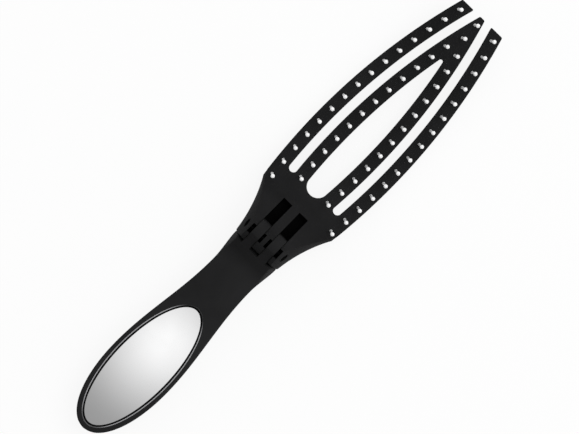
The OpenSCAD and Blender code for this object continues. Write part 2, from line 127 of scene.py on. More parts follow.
def combine(piece, other, operation):
    cut = piece.modifiers.new("combine", "BOOLEAN")
    cut.object = other
    cut.operation = operation
    cut.solver = "MANIFOLD"
    applyModifiers(piece)
    bpy.data.objects.remove(other)


# Gives a second material to the faces of a settled piece whose middle lies in a place; here it paints shade
# or a highlight onto them.
def paintLightOnFaces(piece, material, inPlace):
    piece.data.materials.append(material)
    for face in piece.data.polygons:
        x, y, z = (face.center - hingeAt) / mm
        face.material_index = int(inPlace(x, y, z))


# Turns a finished shape into a piece of the object: real size and place, clean shading, finish and body.
def settle(piece, body, nodes, material, softAngle=35):
    piece.data.transform(Matrix.Translation(hingeAt) @ Matrix.Scale(mm, 4))
    piece.data.shade_smooth()
    piece.data.set_sharp_from_angle(angle=radians(softAngle))
    weighted = piece.modifiers.new("weighted", "WEIGHTED_NORMAL")
    weighted.keep_sharp = True
    weighted.weight = 80  # flat faces keep their shading beside narrow rounds
    applyModifiers(piece)
    piece.data.materials.clear()
    piece.data.materials.append(material)
    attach(piece, body)
    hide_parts(*nodes)
    print("made", piece.name, "with", len(piece.data.polygons), "faces")


# Camera straight over the brush, a little toward the tips, with the brush lying corner to corner.
view = {
    "target": (0.0003, 0.0045, 0.0200),  # point of the brush in the middle of the picture
    "standsOver": (0.0000, 0.0600),  # x and y of the camera
    "distance": 1.37,
    "axisAngle": 45.63,  # angle of the brush's axis from the picture's horizontal
    "fieldWidth": 0.23675,  # width seen at the target
    "sensor": 36, "clip": (0.05, 50),
}


def makeCamera():
    target = Vector(view["target"])
    foot = Vector((*view["standsOver"], target.z))
    height = sqrt(view["distance"] ** 2 - (foot - target).length ** 2)
    place = foot + Vector((0, 0, height))
    back = (place - target).normalized()
    turn = radians(view["axisAngle"])
    up = Vector((-cos(turn), sin(turn), 0))
    up = (up - up.dot(back) * back).normalized()
    right = up.cross(back)
    camera = bpy.data.objects.new("camera", bpy.data.cameras.new("camera"))
    camera.matrix_world = Matrix((
        (right.x, up.x, back.x, place.x),
        (right.y, up.y, back.y, place.y),
        (right.z, up.z, back.z, place.z),
        (0, 0, 0, 1),
    ))
    camera.data.sensor_width = view["sensor"]
    camera.data.lens = view["sensor"] * view["distance"] / view["fieldWidth"]
    camera.data.clip_start, camera.data.clip_end = view["clip"]
    bpy.context.scene.collection.objects.link(camera)
    bpy.context.scene.camera = camera


makeCamera()
print("camera placed")


def link(tree, source, output, target, entry):
    tree.links.new(source.outputs[output], target.inputs[entry])


# Turns a value between two ends into one between two others.
def spread(tree, source, output, ends, values, shape="LINEAR"):
    ramp = tree.nodes.new("ShaderNodeMapRange")
    ramp.interpolation_type = shape
    for label, value in zip(("From Min", "From Max", "To Min", "To Max"), (*ends, *values)):
        ramp.inputs[label].default_value = value
    link(tree, source, output, ramp, "Value")
    return ramp


def newGroup(name, entries, results):
    group = bpy.data.node_groups.new(name, "ShaderNodeTree")
    for label, value in entries.items():
        socket = group.interface.new_socket(label, in_out="INPUT", socket_type="NodeSocketFloat")
        socket.default_value = value
    for label in results:
        group.interface.new_socket(label, in_out="OUTPUT", socket_type="NodeSocketFloat")
    return group, group.nodes.new("NodeGroupInput"), group.nodes.new("NodeGroupOutput")


mouldGrain = {"detail": 3, "roughness": 0.55, "maskEnds": (0.35, 0.65)}


# Fine spark-eroded grain of a mould, as a height and as a mask of its high places.
def makeGrainGroup():
    group, entry, result = newGroup("mouldGrain", {"Grains per metre": 6000}, ("Height", "Mask"))
    place = group.nodes.new("ShaderNodeTexCoord")
    noise = group.nodes.new("ShaderNodeTexNoise")
    noise.inputs["Detail"].default_value = mouldGrain["detail"]
    noise.inputs["Roughness"].default_value = mouldGrain["roughness"]
    link(group, place, "Object", noise, "Vector")
    link(group, entry, "Grains per metre", noise, "Scale")
    high = spread(group, noise, "Fac", mouldGrain["maskEnds"], (0, 1))
    link(group, noise, "Fac", result, "Height")
    link(group, high, 0, result, "Mask")
    return group


handledPatches = {"detail": 4, "distortion": 0.4, "ends": (0.3, 0.7)}


# Broad uneven patches left by flow in the mould, handling and wiping, between two values.
def makePatchGroup():
    entries = {"Patches per metre": 60, "Low": 0, "High": 1}
    group, entry, result = newGroup("handledPatches", entries, ("Value",))
    place = group.nodes.new("ShaderNodeTexCoord")
    noise = group.nodes.new("ShaderNodeTexNoise")
    noise.inputs["Detail"].default_value = handledPatches["detail"]
    noise.inputs["Distortion"].default_value = handledPatches["distortion"]
    link(group, place, "Object", noise, "Vector")
    link(group, entry, "Patches per metre", noise, "Scale")
    patches = spread(group, noise, "Fac", handledPatches["ends"], (0, 1))
    link(group, entry, "Low", patches, "To Min")
    link(group, entry, "High", patches, "To Max")
    link(group, patches, 0, result, "Value")
    return group


grainGroup = makeGrainGroup()
patchGroup = makePatchGroup()


def newMaterial(name):
    material = bpy.data.materials.new(name)
    material.use_nodes = True
    tree = material.node_tree
    return material, tree, tree.nodes["Principled BSDF"]


def addGroup(tree, group, **values):
    node = tree.nodes.new("ShaderNodeGroup")
    node.node_tree = group
    for label, value in values.items():
        node.inputs[label.replace("_", " ")].default_value = value
    return node


def mixColours(tree, source, output, first, second, shader):
    mix = tree.nodes.new("ShaderNodeMix")
    mix.data_type = "RGBA"
    mix.inputs["A"].default_value = (*first, 1)
    mix.inputs["B"].default_value = (*second, 1)
    link(tree, source, output, mix, "Factor")
    link(tree, mix, "Result", shader, "Base Color")


# Roughness that wanders in patches between two values.
def wipeSurface(tree, shader, patchesPerMetre, ends):
    wiped = addGroup(tree, patchGroup, Patches_per_metre=patchesPerMetre, Low=ends[0], High=ends[1])
    link(tree, wiped, "Value", shader, "Roughness")


def addBump(tree, source, output, shader, distance, strength):
    bump = tree.nodes.new("ShaderNodeBump")
    bump.inputs["Distance"].default_value = distance
    bump.inputs["Strength"].default_value = strength
    link(tree, source, output, bump, "Height")
    link(tree, bump, "Normal", shader, "Normal")


blackPlastic = {
    "dark": (0.0106, 0.0106, 0.0109), "light": (0.0152, 0.0152, 0.0157), "tonesPerMetre": 45,
    "roughness": (0.78, 0.88), "wipesPerMetre": 90, "specular": 0.06,
    "handleLitShare": 1.22, "pocketShadeShare": 0.18,  # painted light and shade: the handle is painted a little lighter, as if more lit, the pockets much darker
    "grainsPerMetre": 7000, "grainDepth": 0.00002, "grainStrength": 0.35,
}


# share scales the moulding's colours: above one it paints light onto it, below one it paints shade.
def makeBlackPlastic(name, share=1):
    material, tree, shader = newMaterial(name)
    dark, light = [[share * c for c in blackPlastic[label]] for label in ("dark", "light")]
    grain = addGroup(tree, grainGroup, Grains_per_metre=blackPlastic["grainsPerMetre"])
    tone = addGroup(tree, patchGroup, Patches_per_metre=blackPlastic["tonesPerMetre"])
    mixColours(tree, tone, "Value", dark, light, shader)
    wipeSurface(tree, shader, blackPlastic["wipesPerMetre"], blackPlastic["roughness"])
    shader.inputs["Specular IOR Level"].default_value = blackPlastic["specular"]
    addBump(tree, grain, "Height", shader, blackPlastic["grainDepth"], blackPlastic["grainStrength"])
    return material


nylon = {
    "clear": (0.94, 0.95, 0.95), "milky": (0.98, 0.985, 0.985), "cloudsPerMetre": 400,
    "roughness": (0.22, 0.34), "wipesPerMetre": 900, "transmission": 0.05, "ior": 1.53,
    "scatter": 0.8, "scatterReach": 0.0006,
}


def makeNylon():
    material, tree, shader = newMaterial("nylonPins")
    cloud = addGroup(tree, patchGroup, Patches_per_metre=nylon["cloudsPerMetre"])
    mixColours(tree, cloud, "Value", nylon["clear"], nylon["milky"], shader)
    wipeSurface(tree, shader, nylon["wipesPerMetre"], nylon["roughness"])
    shader.inputs["Transmission Weight"].default_value = nylon["transmission"]
    shader.inputs["IOR"].default_value = nylon["ior"]
    shader.inputs["Subsurface Weight"].default_value = nylon["scatter"]
    shader.inputs["Subsurface Radius"].default_value = (1, 1, 1)
    shader.inputs["Subsurface Scale"].default_value = nylon["scatterReach"]
    return material


silvering = {
    "clean": (0.938, 0.938, 0.941), "hazed": (0.911, 0.911, 0.914), "hazesPerMetre": 35,
    "roughness": (0.015, 0.035), "wipesPerMetre": 70,
}


def makeMirror():
    material, tree, shader = newMaterial("silveredGlass")
    haze = addGroup(tree, patchGroup, Patches_per_metre=silvering["hazesPerMetre"])
    mixColours(tree, haze, "Value", silvering["clean"], silvering["hazed"], shader)
    wipeSurface(tree, shader, silvering["wipesPerMetre"], silvering["roughness"])
    shader.inputs["Metallic"].default_value = 1
    return material


blackWire = {
    "black": (0.0015, 0.0015, 0.0016), "rubbedAndHighlit": (0.0035, 0.0035, 0.0037), "rubsPerMetre": 2500,
    "roughness": (0.35, 0.5), "wipesPerMetre": 500,
}


# The hinge pin's wire is nearly black, with a few lighter specks spread over it.
def makeWire():
    material, tree, shader = newMaterial("nearBlackSteel")
    rubs = addGroup(tree, grainGroup, Grains_per_metre=blackWire["rubsPerMetre"])
    mixColours(tree, rubs, "Mask", blackWire["black"], blackWire["rubbedAndHighlit"], shader)
    wipeSurface(tree, shader, blackWire["wipesPerMetre"], blackWire["roughness"])
    shader.inputs["Metallic"].default_value = 1
    return material


padFoam = {
    "dark": (0.012, 0.012, 0.012), "light": (0.03, 0.03, 0.03), "roughness": 0.9,
    "cellsPerMetre": 2200, "cellDepth": 0.0002, "cellStrength": 0.6,
}


def makeFoam():
    material, tree, shader = newMaterial("adhesiveFoam")
    cells = addGroup(tree, grainGroup, Grains_per_metre=padFoam["cellsPerMetre"])
    mixColours(tree, cells, "Mask", padFoam["dark"], padFoam["light"], shader)
    shader.inputs["Roughness"].default_value = padFoam["roughness"]
    addBump(tree, cells, "Height", shader, padFoam["cellDepth"], padFoam["cellStrength"])
    return material


blackMaterial = makeBlackPlastic("blackMoulding")
# Lighter copy of the same moulding for the handle and its back plate: painted light.
handleMaterial = makeBlackPlastic("handleLitMoulding", blackPlastic["handleLitShare"])
# Much darker copy of the same moulding for the pockets and recesses: painted shade.
pocketShadeMaterial = makeBlackPlastic("paintedShadePocket", blackPlastic["pocketShadeShare"])
nylonMaterial = makeNylon()
mirrorMaterial = makeMirror()
wireMaterial = makeWire()
foamMaterial = makeFoam()
print("materials made")


# Head: arched ribs and a hinge end with pockets for the handle's prongs.
head = {
    "reach": (headBox[1].y - hingeAt.y) / mm, "half": headBox[1].x / mm,
    "widestAt": 52.5, "taper": 10.6, "shoulderAt": 18, "ribWidth": 6.25, "ribDepth": 6.5,
    "gapWidth": 3.75, "gapRoot": 26.8, "ventRoot": 25.4, "ventTip": 0.9,
    "archRadius": 186, "archAt": 69.5, "archDrop": hingeAt.z / mm, "edgeRound": 0.35,
    "neckRadius": 62.6, "neckHalf": 11.8, "rootDrop": 19.5, "rootFlatTo": 5, "rootSquare": 4,
    "edgeDrop": 12, "shoulderEdgeRise": 1, "rampHollow": 9, "rampSink": 0.05,
    "creaseHalf": 8.6, "creaseFrom": 2.6, "creaseTo": 20.8, "creaseSoft": 0.2, "flankBow": 1.5,
    "endRound": 0.6, "stopAt": 6.27, "stopTop": -2.6, "stopRound": 0.35,
    "cornerRound": 0.55,  # rounding of the ribs' corners at the tips
    "tuckIn": 2, "tuckBack": 3,  # how far the ribs run into the hinge end
    "spacing": 1.2, "bendSpacing": 1.6,  # facets along the ribs' outlines and along their bend
    "rampSpacing": 0.8, "hollowSpacing": 0.4, "creaseSpacing": 0.6,
}
knuckle = {
    "radius": 5.8, "rampTop": 7.1, "tongueHalf": 2.1, "clear": 0.2, "prong": 4.3, "pocketReach": 17.5,
    "pocketWall": 2, "slotHalf": 2.2, "earSlot": 1.5, "tongueSlot": 1.15, "slotFloor": -2.2,
    "pinRadius": 1.5, "pinHalf": 9, "pinProud": 0.15, "recess": 1.875, "openTo": 2.7, "openTop": -13,
    "shadeBelow": 0.3,  # depth under the ramp's line from which faces get the painted shade
}
knuckle["prongIn"] = knuckle["tongueHalf"] + knuckle["clear"]
knuckle["prongOut"] = knuckle["prongIn"] + knuckle["prong"]
knuckle["earIn"] = knuckle["prongOut"] + knuckle["clear"]

edgeRun = head["reach"] - head["widestAt"]
edgeRadius = (edgeRun ** 2 + head["taper"] ** 2) / (2 * head["taper"])
archCentre = head["archRadius"] - head["archDrop"]
rampTop = knuckle["rampTop"]
# Angle from the way to the tips at which the knuckle's round meets the ramp.
rampAngle = pi / 4 + acos(rampTop / sqrt(2) / knuckle["radius"])


# Long edges of the ribs are arcs of one radius, and half is their distance out at the widest place.
def headEdge(half, u):
    return half - edgeRadius + sqrt(edgeRadius ** 2 - (u - head["widestAt"]) ** 2)


def archFront(u):
    return archCentre - sqrt((head["archRadius"] - head["ribDepth"]) ** 2 - (u - head["archAt"]) ** 2)


def archBack(u):
    return archCentre - sqrt(head["archRadius"] ** 2 - (u - head["archAt"]) ** 2)


# Corner of a rib's tip, turned from one of its long edges to its end or the other way round.
def tipCorner(half, side):
    r, reach = head["cornerRound"], head["reach"]
    corner = Vector((headEdge(half, reach), reach))
    down = Vector((headEdge(half, reach - r), reach - r))
    across = corner + Vector((side * r, 0))
    return [tuple(down * (1 - t) ** 2 + corner * 2 * t * (1 - t) + across * t ** 2)
            for t in (0, 0.2, 0.4, 0.6, 0.8, 1)]


def ribOutline():
    gapOut = head["half"] - head["ribWidth"]
    gapIn = gapOut - head["gapWidth"]
    r = head["gapWidth"] / 2
    roundAt = head["gapRoot"] + r
    step = head["spacing"]
    tucked = headEdge(head["half"], head["shoulderAt"]) - head["tuckIn"]
    right = [(tucked, head["shoulderAt"] - head["tuckBack"])]
    roundFrom = head["reach"] - head["cornerRound"]
    right += [(headEdge(head["half"], u), u) for u in stepsBetween(head["shoulderAt"], roundFrom, step)[:-1]]
    right += tipCorner(head["half"], -1) + tipCorner(gapOut, 1)[::-1]
    right += [(headEdge(gapOut, u), u) for u in stepsBetween(roundFrom, roundAt, step)[1:]]
    gapMiddle = (headEdge(gapOut, roundAt) + headEdge(gapIn, roundAt)) / 2
    right += arcPoints(gapMiddle, roundAt, r, 0, -180, 16)[1:-1]
    right += [(headEdge(gapIn, u), u) for u in stepsBetween(roundAt, roundFrom, step)[:-1]]
    right += tipCorner(gapIn, -1)
    return right + [(-x, u) for x, u in reversed(right)]


def ventOutline():
    half = head["half"] - 2 * head["ribWidth"] - head["gapWidth"]
    nearAt = head["ventRoot"] + headEdge(half, head["ventRoot"] + half)
    nearRadius = headEdge(half, nearAt)
    drawn = half - head["ventTip"]
    farAt = head["widestAt"] + sqrt(drawn * (2 * edgeRadius - drawn))
    walls = stepsBetween(nearAt, farAt, head["spacing"])
    loop = [(-headEdge(half, u), u) for u in walls[:-1]]
    loop += arcPoints(0, farAt, head["ventTip"], 180, 0, 10)
    loop += [(headEdge(half, u), u) for u in reversed(walls[:-1])]
    return loop + arcPoints(0, nearAt, nearRadius, 0, -180, 24)[1:-1]


# Moves each point of a loop inward, to the left of the way the loop runs.
def insetLoop(loop, distance):
    moved = []
    for before, here, after in zip(loop[-1:] + loop[:-1], loop, loop[1:] + loop[:1]):
        ways = [Vector((b[0] - a[0], b[1] - a[1])).normalized() for a, b in ((before, here), (here, after))]
        sides = [Vector((-w.y, w.x)) for w in ways]
        middle = (sides[0] + sides[1]).normalized()
        shift = middle * (distance / middle.dot(sides[0]))
        moved.append((here[0] + shift.x, here[1] + shift.y))
    return moved


# Slab with the ribs' outline and rounded edges, cut across often and then bent to the arch.
def makeRibs():
    bm = bmesh.new()
    r, depth = head["edgeRound"], head["ribDepth"]
    quarter = [radians(a) for a in (90, 60, 30, 0)]
    levels = [(r * (1 - cos(a)), r * (1 - sin(a))) for a in quarter]
    levels += [(inset, depth - z) for inset, z in reversed(levels)]
    rims = {0: [], len(levels) - 1: []}
    for loop in (ribOutline(), ventOutline()):
        rows = [[bm.verts.new((x, u, z)) for x, u in insetLoop(loop, inset)] for inset, z in levels]
        stitch(bm, rows)
        n = len(loop)
        for level in rims:
            rims[level] += [bm.edges.get((rows[level][i], rows[level][(i + 1) % n])) for i in range(n)]
    for edges in rims.values():
        bmesh.ops.triangle_fill(bm, use_beauty=True, edges=edges)
    margin = 1  # from both ends
    bendFrom, bendTo = head["shoulderAt"] - head["tuckBack"] + margin, head["reach"] - margin
    for u in stepsBetween(bendFrom, bendTo, head["bendSpacing"]):
        everything = bm.verts[:] + bm.edges[:] + bm.faces[:]
        bmesh.ops.bisect_plane(bm, geom=everything, dist=0.0005, plane_co=(0, u, 0), plane_no=(0, 1, 0))
    for v in bm.verts:
        low, high = archBack(v.co.y), archFront(v.co.y)
        v.co.z = low + v.co.z / depth * (high - low)
    return newPiece("headShell", bm)


# Each side of the hinge end is one hollow arc from its end to the shoulder.
neckEnd = Vector((head["neckHalf"], -knuckle["radius"]))
neckStart = Vector((headEdge(head["half"], head["shoulderAt"]) - overlap, head["shoulderAt"]))
neckWay = (neckStart - neckEnd).normalized()
neckCentre = (neckStart + neckEnd) / 2 + Vector((neckWay.y, -neckWay.x)) * sqrt(
    head["neckRadius"] ** 2 - ((neckStart - neckEnd).length / 2) ** 2)


def neckHalf(u):
    if u > head["shoulderAt"]:
        return headEdge(head["half"], u) - overlap
    return neckCentre.x - sqrt(head["neckRadius"] ** 2 - (u - neckCentre.y) ** 2)


def rootBack(u):
    if u > head["shoulderAt"]:
        return archBack(u) + overlap
    share = max(0, u - head["rootFlatTo"]) / (head["shoulderAt"] - head["rootFlatTo"])
    return -head["rootDrop"] + (archBack(head["shoulderAt"]) + overlap + head["rootDrop"]) * share


# The ramp's foot on the arch, and the hollow that eases the one into the other.
footSum = head["archAt"] + rampTop - archCentre
footGap = head["archAt"] - rampTop + archCentre
footAt = (footSum + sqrt(2 * (head["archRadius"] - head["ribDepth"]) ** 2 - footGap ** 2)) / 2
archFall = asin((head["archAt"] - footAt) / (head["archRadius"] - head["ribDepth"]))
hollowRun = head["rampHollow"] * tan((pi / 4 - archFall) / 2)
hollowFrom = footAt - hollowRun * cos(pi / 4)
hollowTo = footAt + hollowRun * cos(archFall)
hollowCentre = (hollowFrom + head["rampHollow"] * cos(pi / 4),
                rampTop - hollowFrom + head["rampHollow"] * sin(pi / 4))


def rampFront(u):
    if u < knuckle["radius"] * cos(rampAngle):
        return sqrt(max(0, knuckle["radius"] ** 2 - u ** 2))
    if u < hollowFrom:
        return rampTop - u
    if u < hollowTo:
        return hollowCentre[1] - sqrt(head["rampHollow"] ** 2 - (u - hollowCentre[0]) ** 2)
    return archFront(u) - head["rampSink"] * (u - hollowTo)


def mirroredRing(side, u):
    return [(x, u, z) for x, z in side] + [(-x, u, z) for x, z in reversed(side) if x > 1e-6]


# Half width of the hinge end's front, which a crease bounds on each side.
def creaseHalf(u):
    share = max(0, u - head["creaseFrom"]) / (head["creaseTo"] - head["creaseFrom"])
    return head["creaseHalf"] + (headEdge(head["half"], head["creaseTo"]) - head["creaseHalf"]) * share


# Height at which the hinge end is widest.
def rootEdge(u):
    atShoulder = rootBack(head["shoulderAt"]) + head["shoulderEdgeRise"]
    return ease(u, 0, head["shoulderAt"], -head["edgeDrop"], atShoulder)


# What is cut off beside the crease: the bowed flank from the front's edge down to the widest place.
def flankRing(u, side):
    crease, front, low, soft = creaseHalf(u), rampFront(u), rootEdge(u), head["creaseSoft"]
    half = max(crease, neckHalf(u) + overlap)
    points = [(crease - soft, front + hair), (crease - soft / 3, front - soft / 3)]
    bow = head["flankBow"]
    points += [(half - (half - crease) * v ** bow, low + (front - low) * v - soft * (v == 1))
               for v in [1 - i / 8 for i in range(9)]]
    outside, above = 30, front + 10  # clear of the head
    points += [(outside, low), (outside, above), (crease - soft, above)]
    return [(side * x, u, z) for x, z in points]


# Cross-section of the hinge end: flat front, straight sides and a squared oval back.
def rootRing(u, front, inset=0):
    half, back, edge = neckHalf(u) - inset, rootBack(u) + inset, rootEdge(u)
    side = [(half * i / 8, front) for i in range(8)]
    side += [(half, front + (edge - front) * i / 5) for i in range(5)]
    power = 2 / head["rootSquare"]
    side += [(half * max(0, cos(a)) ** power, edge + (back - edge) * sin(a) ** power)
             for a in [pi / 2 * i / 16 for i in range(16)]] + [(0, back)]
    return mirroredRing(side, u)


# Inset of a rounded end, from 0 to the radius, for a place at this distance from the end.
def endInset(r, fromEnd):
    return r - sqrt(r ** 2 - (r - min(r, fromEnd)) ** 2)


def hingeRing(u):
    return rootRing(u, rampFront(u), endInset(head["endRound"], u + knuckle["radius"]))


# Butt of the head's end, which stops against the handle's shoulder when the brush is open.
def stopRing(u):
    inset = endInset(head["stopRound"], u + head["stopAt"])
    return rootRing(u, head["stopTop"] - inset, head["endRound"] + inset)


# Painted shade: the pin's recesses in the ears, and every face between the tongue and the ears past the
# hinge line from a little under the ramp's line down, get a much darker copy of the moulding; past the ramp
# that line follows the ribs' front, so the band also darkens rib faces out to the tips.
def inPocket(x, u, z):
    slack = 0.01
    inRecess = hypot(u, z) < knuckle["recess"] + slack
    betweenWalls = knuckle["tongueHalf"] - slack < abs(x) < knuckle["earIn"] + slack
    return inRecess or (betweenWalls and u > 0 and z < rampFront(u) - knuckle["shadeBelow"])


def makeHead():
    shell = makeRibs()
    stations = [-knuckle["radius"] * cos(b) for b in stepsBetween(0, pi - rampAngle, radians(5))]
    stations += stepsBetween(stations[-1], hollowFrom, head["rampSpacing"])[1:]
    stations += stepsBetween(hollowFrom, hollowTo, head["hollowSpacing"])[1:]
    stations += [hollowTo + 0.6, hollowTo + 1.2]  # the ramp's end, sunk into the ribs
    combine(shell, loft("hingeEnd", [hingeRing(u) for u in stations]), "UNION")
    stops = [-head["stopAt"] + head["stopRound"] * t for t in (0, 0.1, 0.3, 0.6, 1)] + [0]
    combine(shell, loft("stop", [stopRing(u) for u in stops]), "UNION")
    creased = [-head["stopAt"] - 1] + stations
    creased += stepsBetween(stations[-1], head["creaseTo"], head["creaseSpacing"])[1:]
    creased = [u for u in creased if u <= head["creaseTo"]]
    for side in (-1, 1):
        combine(shell, loft("flank", [flankRing(u, side) for u in creased]), "DIFFERENCE")
    k = knuckle
    floor = -head["rootDrop"] + k["pocketWall"]
    farFloor = rootBack(k["pocketReach"]) + k["pocketWall"]
    pocket = [(-far, floor), (head["rootFlatTo"], floor), (k["pocketReach"], farFloor),
              (k["pocketReach"], far), (-far, far)]
    for side in (-1, 1):
        across = sorted((side * k["tongueHalf"], side * k["earIn"]))
        combine(shell, prismAcross("pocket", pocket, *across), "DIFFERENCE")
        for a, b in ((k["earIn"] - overlap, k["earIn"] + k["earSlot"]),
                     (k["tongueHalf"] - k["tongueSlot"], k["tongueHalf"] + overlap)):
            across = sorted((side * a, side * b))
            combine(shell, block("slot", (across[0], -k["slotHalf"], k["slotFloor"]),
                                 (across[1], k["slotHalf"], far)), "DIFFERENCE")
        across = sorted((side * (k["pinHalf"] - k["pinProud"]), side * far))
        combine(shell, rod("recess", k["recess"], *across), "DIFFERENCE")
    combine(shell, block("underside", (-k["earIn"], -far, -far), (k["earIn"], k["openTo"], k["openTop"])),
            "DIFFERENCE")
    settle(shell, "head", ["head_frame"], blackMaterial)
    # Painted shade in the recesses and pockets.
    paintLightOnFaces(shell, pocketShadeMaterial, inPocket)


makeHead()


# Handle: drafted shoulder and prongs at the hinge, slim waist, paddle with the mirror's seat.
handle = {
    "reach": (hingeAt.y - handleBox[0].y) / mm, "neckHalf": 11.45, "waistHalf": 10.2, "waistAt": 20,
    "paddleHalf": 14.95, "paddleAt": 74, "paddleEnd": 2.1,
    "frontDrop": 6.3, "frontSlope": 0.02, "frontBow": 1390,
    "backDrop": 18.4, "waistDrop": 15.4, "waistThinAt": 19, "paddleDrop": 18, "paddleFullAt": 68,
    "endRound": 10.5, "endSquare": 3.2, "endWall": 1.2, "shoulderAt": 6.3, "rampFillet": 9,
    "neckDraft": 2.2, "neckEdgeDrop": 12, "neckSquare": 5, "neckTo": 18, "edgeRound": 1, "edgeDrop": 1.5,
    "tipHalf": 0.25, "tipShare": 0.8,  # half width and share of the edge's rounding at the very tip
    "edgeShare": 0.85, "edgeLowest": 0.35,  # most of the width in the edges, and least height of their foot
    "edgeSoft": 0.02,  # softness of the drafted sides' upper edge
    "paddleSquare": 2.6, "paddleSquareAt": 45, "noseClear": 0.25, "noseDrop": 1.7,
    "prongRoot": 1, "prongRootDrop": 1.5,  # how far the prongs run into the shoulder
    "lipWall": 2, "lipReach": 2.69, "lipGap": 0.005, "heelDrop": 12.3, "pinClear": 0.05,
    "spacing": 1.4, "rampSpacing": 0.5,
}
rampFoot = rampTop + handle["frontDrop"] + handle["rampFillet"] * tan(radians(22.5))


def handleFront(u):
    if u < rampFoot - handle["rampFillet"] * sin(pi / 4):
        return rampTop - u
    if u < rampFoot:
        r = handle["rampFillet"]
        return r - handle["frontDrop"] - sqrt(r ** 2 - (rampFoot - u) ** 2)
    past = u - rampFoot
    return -handle["frontDrop"] - handle["frontSlope"] * past - past ** 2 / (2 * handle["frontBow"])


def handleHalf(u):
    if u < handle["waistAt"]:
        return ease(u, handle["shoulderAt"], handle["waistAt"], handle["neckHalf"], handle["waistHalf"])
    if u < handle["paddleAt"]:
        return ease(u, handle["waistAt"], handle["paddleAt"], handle["waistHalf"], handle["paddleHalf"])
    share = (u - handle["paddleAt"]) / (handle["reach"] - handle["paddleAt"])
    return handle["paddleHalf"] * max(0, 1 - share ** handle["paddleEnd"]) ** (1 / handle["paddleEnd"])


def handleBack(u):
    if u < handle["waistThinAt"]:
        return -ease(u, handle["shoulderAt"], handle["waistThinAt"], handle["backDrop"], handle["waistDrop"])
    if u < handle["reach"] - handle["endRound"]:
        thinAt, fullAt = handle["waistThinAt"], handle["paddleFullAt"]
        return -ease(u, thinAt, fullAt, handle["waistDrop"], handle["paddleDrop"])
    low = handleFront(handle["reach"]) - handle["endWall"]
    share = (u - handle["reach"] + handle["endRound"]) / handle["endRound"]
    power = handle["endSquare"]
    return low - (handle["paddleDrop"] + low) * max(0, 1 - share ** power) ** (1 / power)


# Cross-section of the handle: its upper edges go from drafted sides at the neck to rounds on the paddle.
def handleRing(u):
    half, front, back = max(handleHalf(u), handle["tipHalf"]), handleFront(u), handleBack(u)
    wide = ease(u, handle["shoulderAt"], handle["neckTo"], handle["neckDraft"], handle["edgeRound"])
    drop = ease(u, handle["shoulderAt"], handle["neckTo"], handle["neckEdgeDrop"], handle["edgeDrop"])
    bulge = ease(u, handle["shoulderAt"], handle["neckTo"], 0, 1)
    if u > handle["paddleAt"]:
        step = 0.3
        slope = (handleHalf(u - step) - handleHalf(min(u + step, handle["reach"]))) / (2 * step)
        wide = min(wide * hypot(1, slope), half * handle["edgeShare"])
    front -= endInset(handle["edgeRound"], handle["reach"] - u) * handle["tipShare"]
    widest = max(front - drop, back + handle["edgeLowest"] * (front - back))
    drop = front - widest
    side = [((half - wide) * i / 5, front) for i in range(5)]
    blur = handle["edgeSoft"]
    for j in range(10, -1, -1):
        k = cos(radians(9 * j))
        soft = (sqrt(k * k + blur) - sqrt(blur)) / (sqrt(1 + blur) - sqrt(blur))
        fall = soft + bulge * (1 - sqrt(max(0, 1 - k * k)) - soft)
        side.append((half - wide * (1 - k), front - drop * fall))
    squareTo = handle["paddleSquareAt"]
    power = 2 / ease(u, handle["shoulderAt"], squareTo, handle["neckSquare"], handle["paddleSquare"])
    side += [(half * cos(a) ** power, widest + (back - widest) * sin(a) ** power)
             for a in [pi / 2 * i / 20 for i in range(1, 20)]] + [(0, back)]
    return mirroredRing(side, -u)


mirror = {
    "halfLength": 32.25, "halfWidth": 12, "at": 72.9, "thick": 1.6, "pad": 0.4, "sink": 0.3,
    "grooveDrop": 1.5, "clear": 0.1, "edgeRound": 0.06,
    "beadAt": 1.0, "beadReach": 0.2, "beadHeight": 0.2, "beadFoot": 0.6,  # raised bead around the groove, with a painted highlight on its round
}
chordNear = handleFront(mirror["at"] - mirror["halfLength"])
chordFar = handleFront(mirror["at"] + mirror["halfLength"])
mirrorTilt = asin((chordNear - chordFar) / (2 * mirror["halfLength"]))
mirrorFace = (chordNear + chordFar) / 2 - mirror["sink"]


# Ring of an ellipse that lies in the mirror's plane, raised by up from the glass.
def mirrorRing(grow, up, count=120):
    ring = []
    for i in range(count):
        a = 2 * pi * i / count
        x = (mirror["halfWidth"] + grow) * cos(a)
        along = (mirror["halfLength"] + grow) * sin(a)
        y, z = along * cos(mirrorTilt), along * sin(mirrorTilt)
        ring.append((x, y - up * sin(mirrorTilt) - mirror["at"], z + up * cos(mirrorTilt) + mirrorFace))
    return ring


# The same ellipse, but at a height over the handle's own front.
def rimRing(grow, up):
    return [(x, y, handleFront(-y) + up) for x, y, z in mirrorRing(grow, 0)]


# The bead's round on one side of its crest, from its foot up to lastDeg, where 90 is the crest.
def beadRings(side, lastDeg):
    turns = [radians(a) for a in range(0, lastDeg + 1, 15)]
    return [rimRing(mirror["beadAt"] + side * mirror["beadReach"] * cos(a), mirror["beadHeight"] * sin(a))
            for a in turns]


def makeBead():
    foot = rimRing(mirror["beadAt"] + mirror["beadReach"], -mirror["beadFoot"])
    return loft("bead", [foot] + beadRings(1, 90))


# Seat of the pad and the glass, the groove around the glass, and the bead's inner side.
def makeSeatCutter():
    above = 3
    return loft("seat", [
        mirrorRing(mirror["clear"], -mirror["thick"] - mirror["pad"]),
        mirrorRing(mirror["clear"], -mirror["grooveDrop"]),
        mirrorRing(mirror["beadAt"] - mirror["beadReach"], -mirror["grooveDrop"]),
        *beadRings(-1, 75),
        rimRing(mirror["beadAt"], mirror["beadHeight"] + hair),
        rimRing(mirror["beadAt"] + overlap, above),
    ])


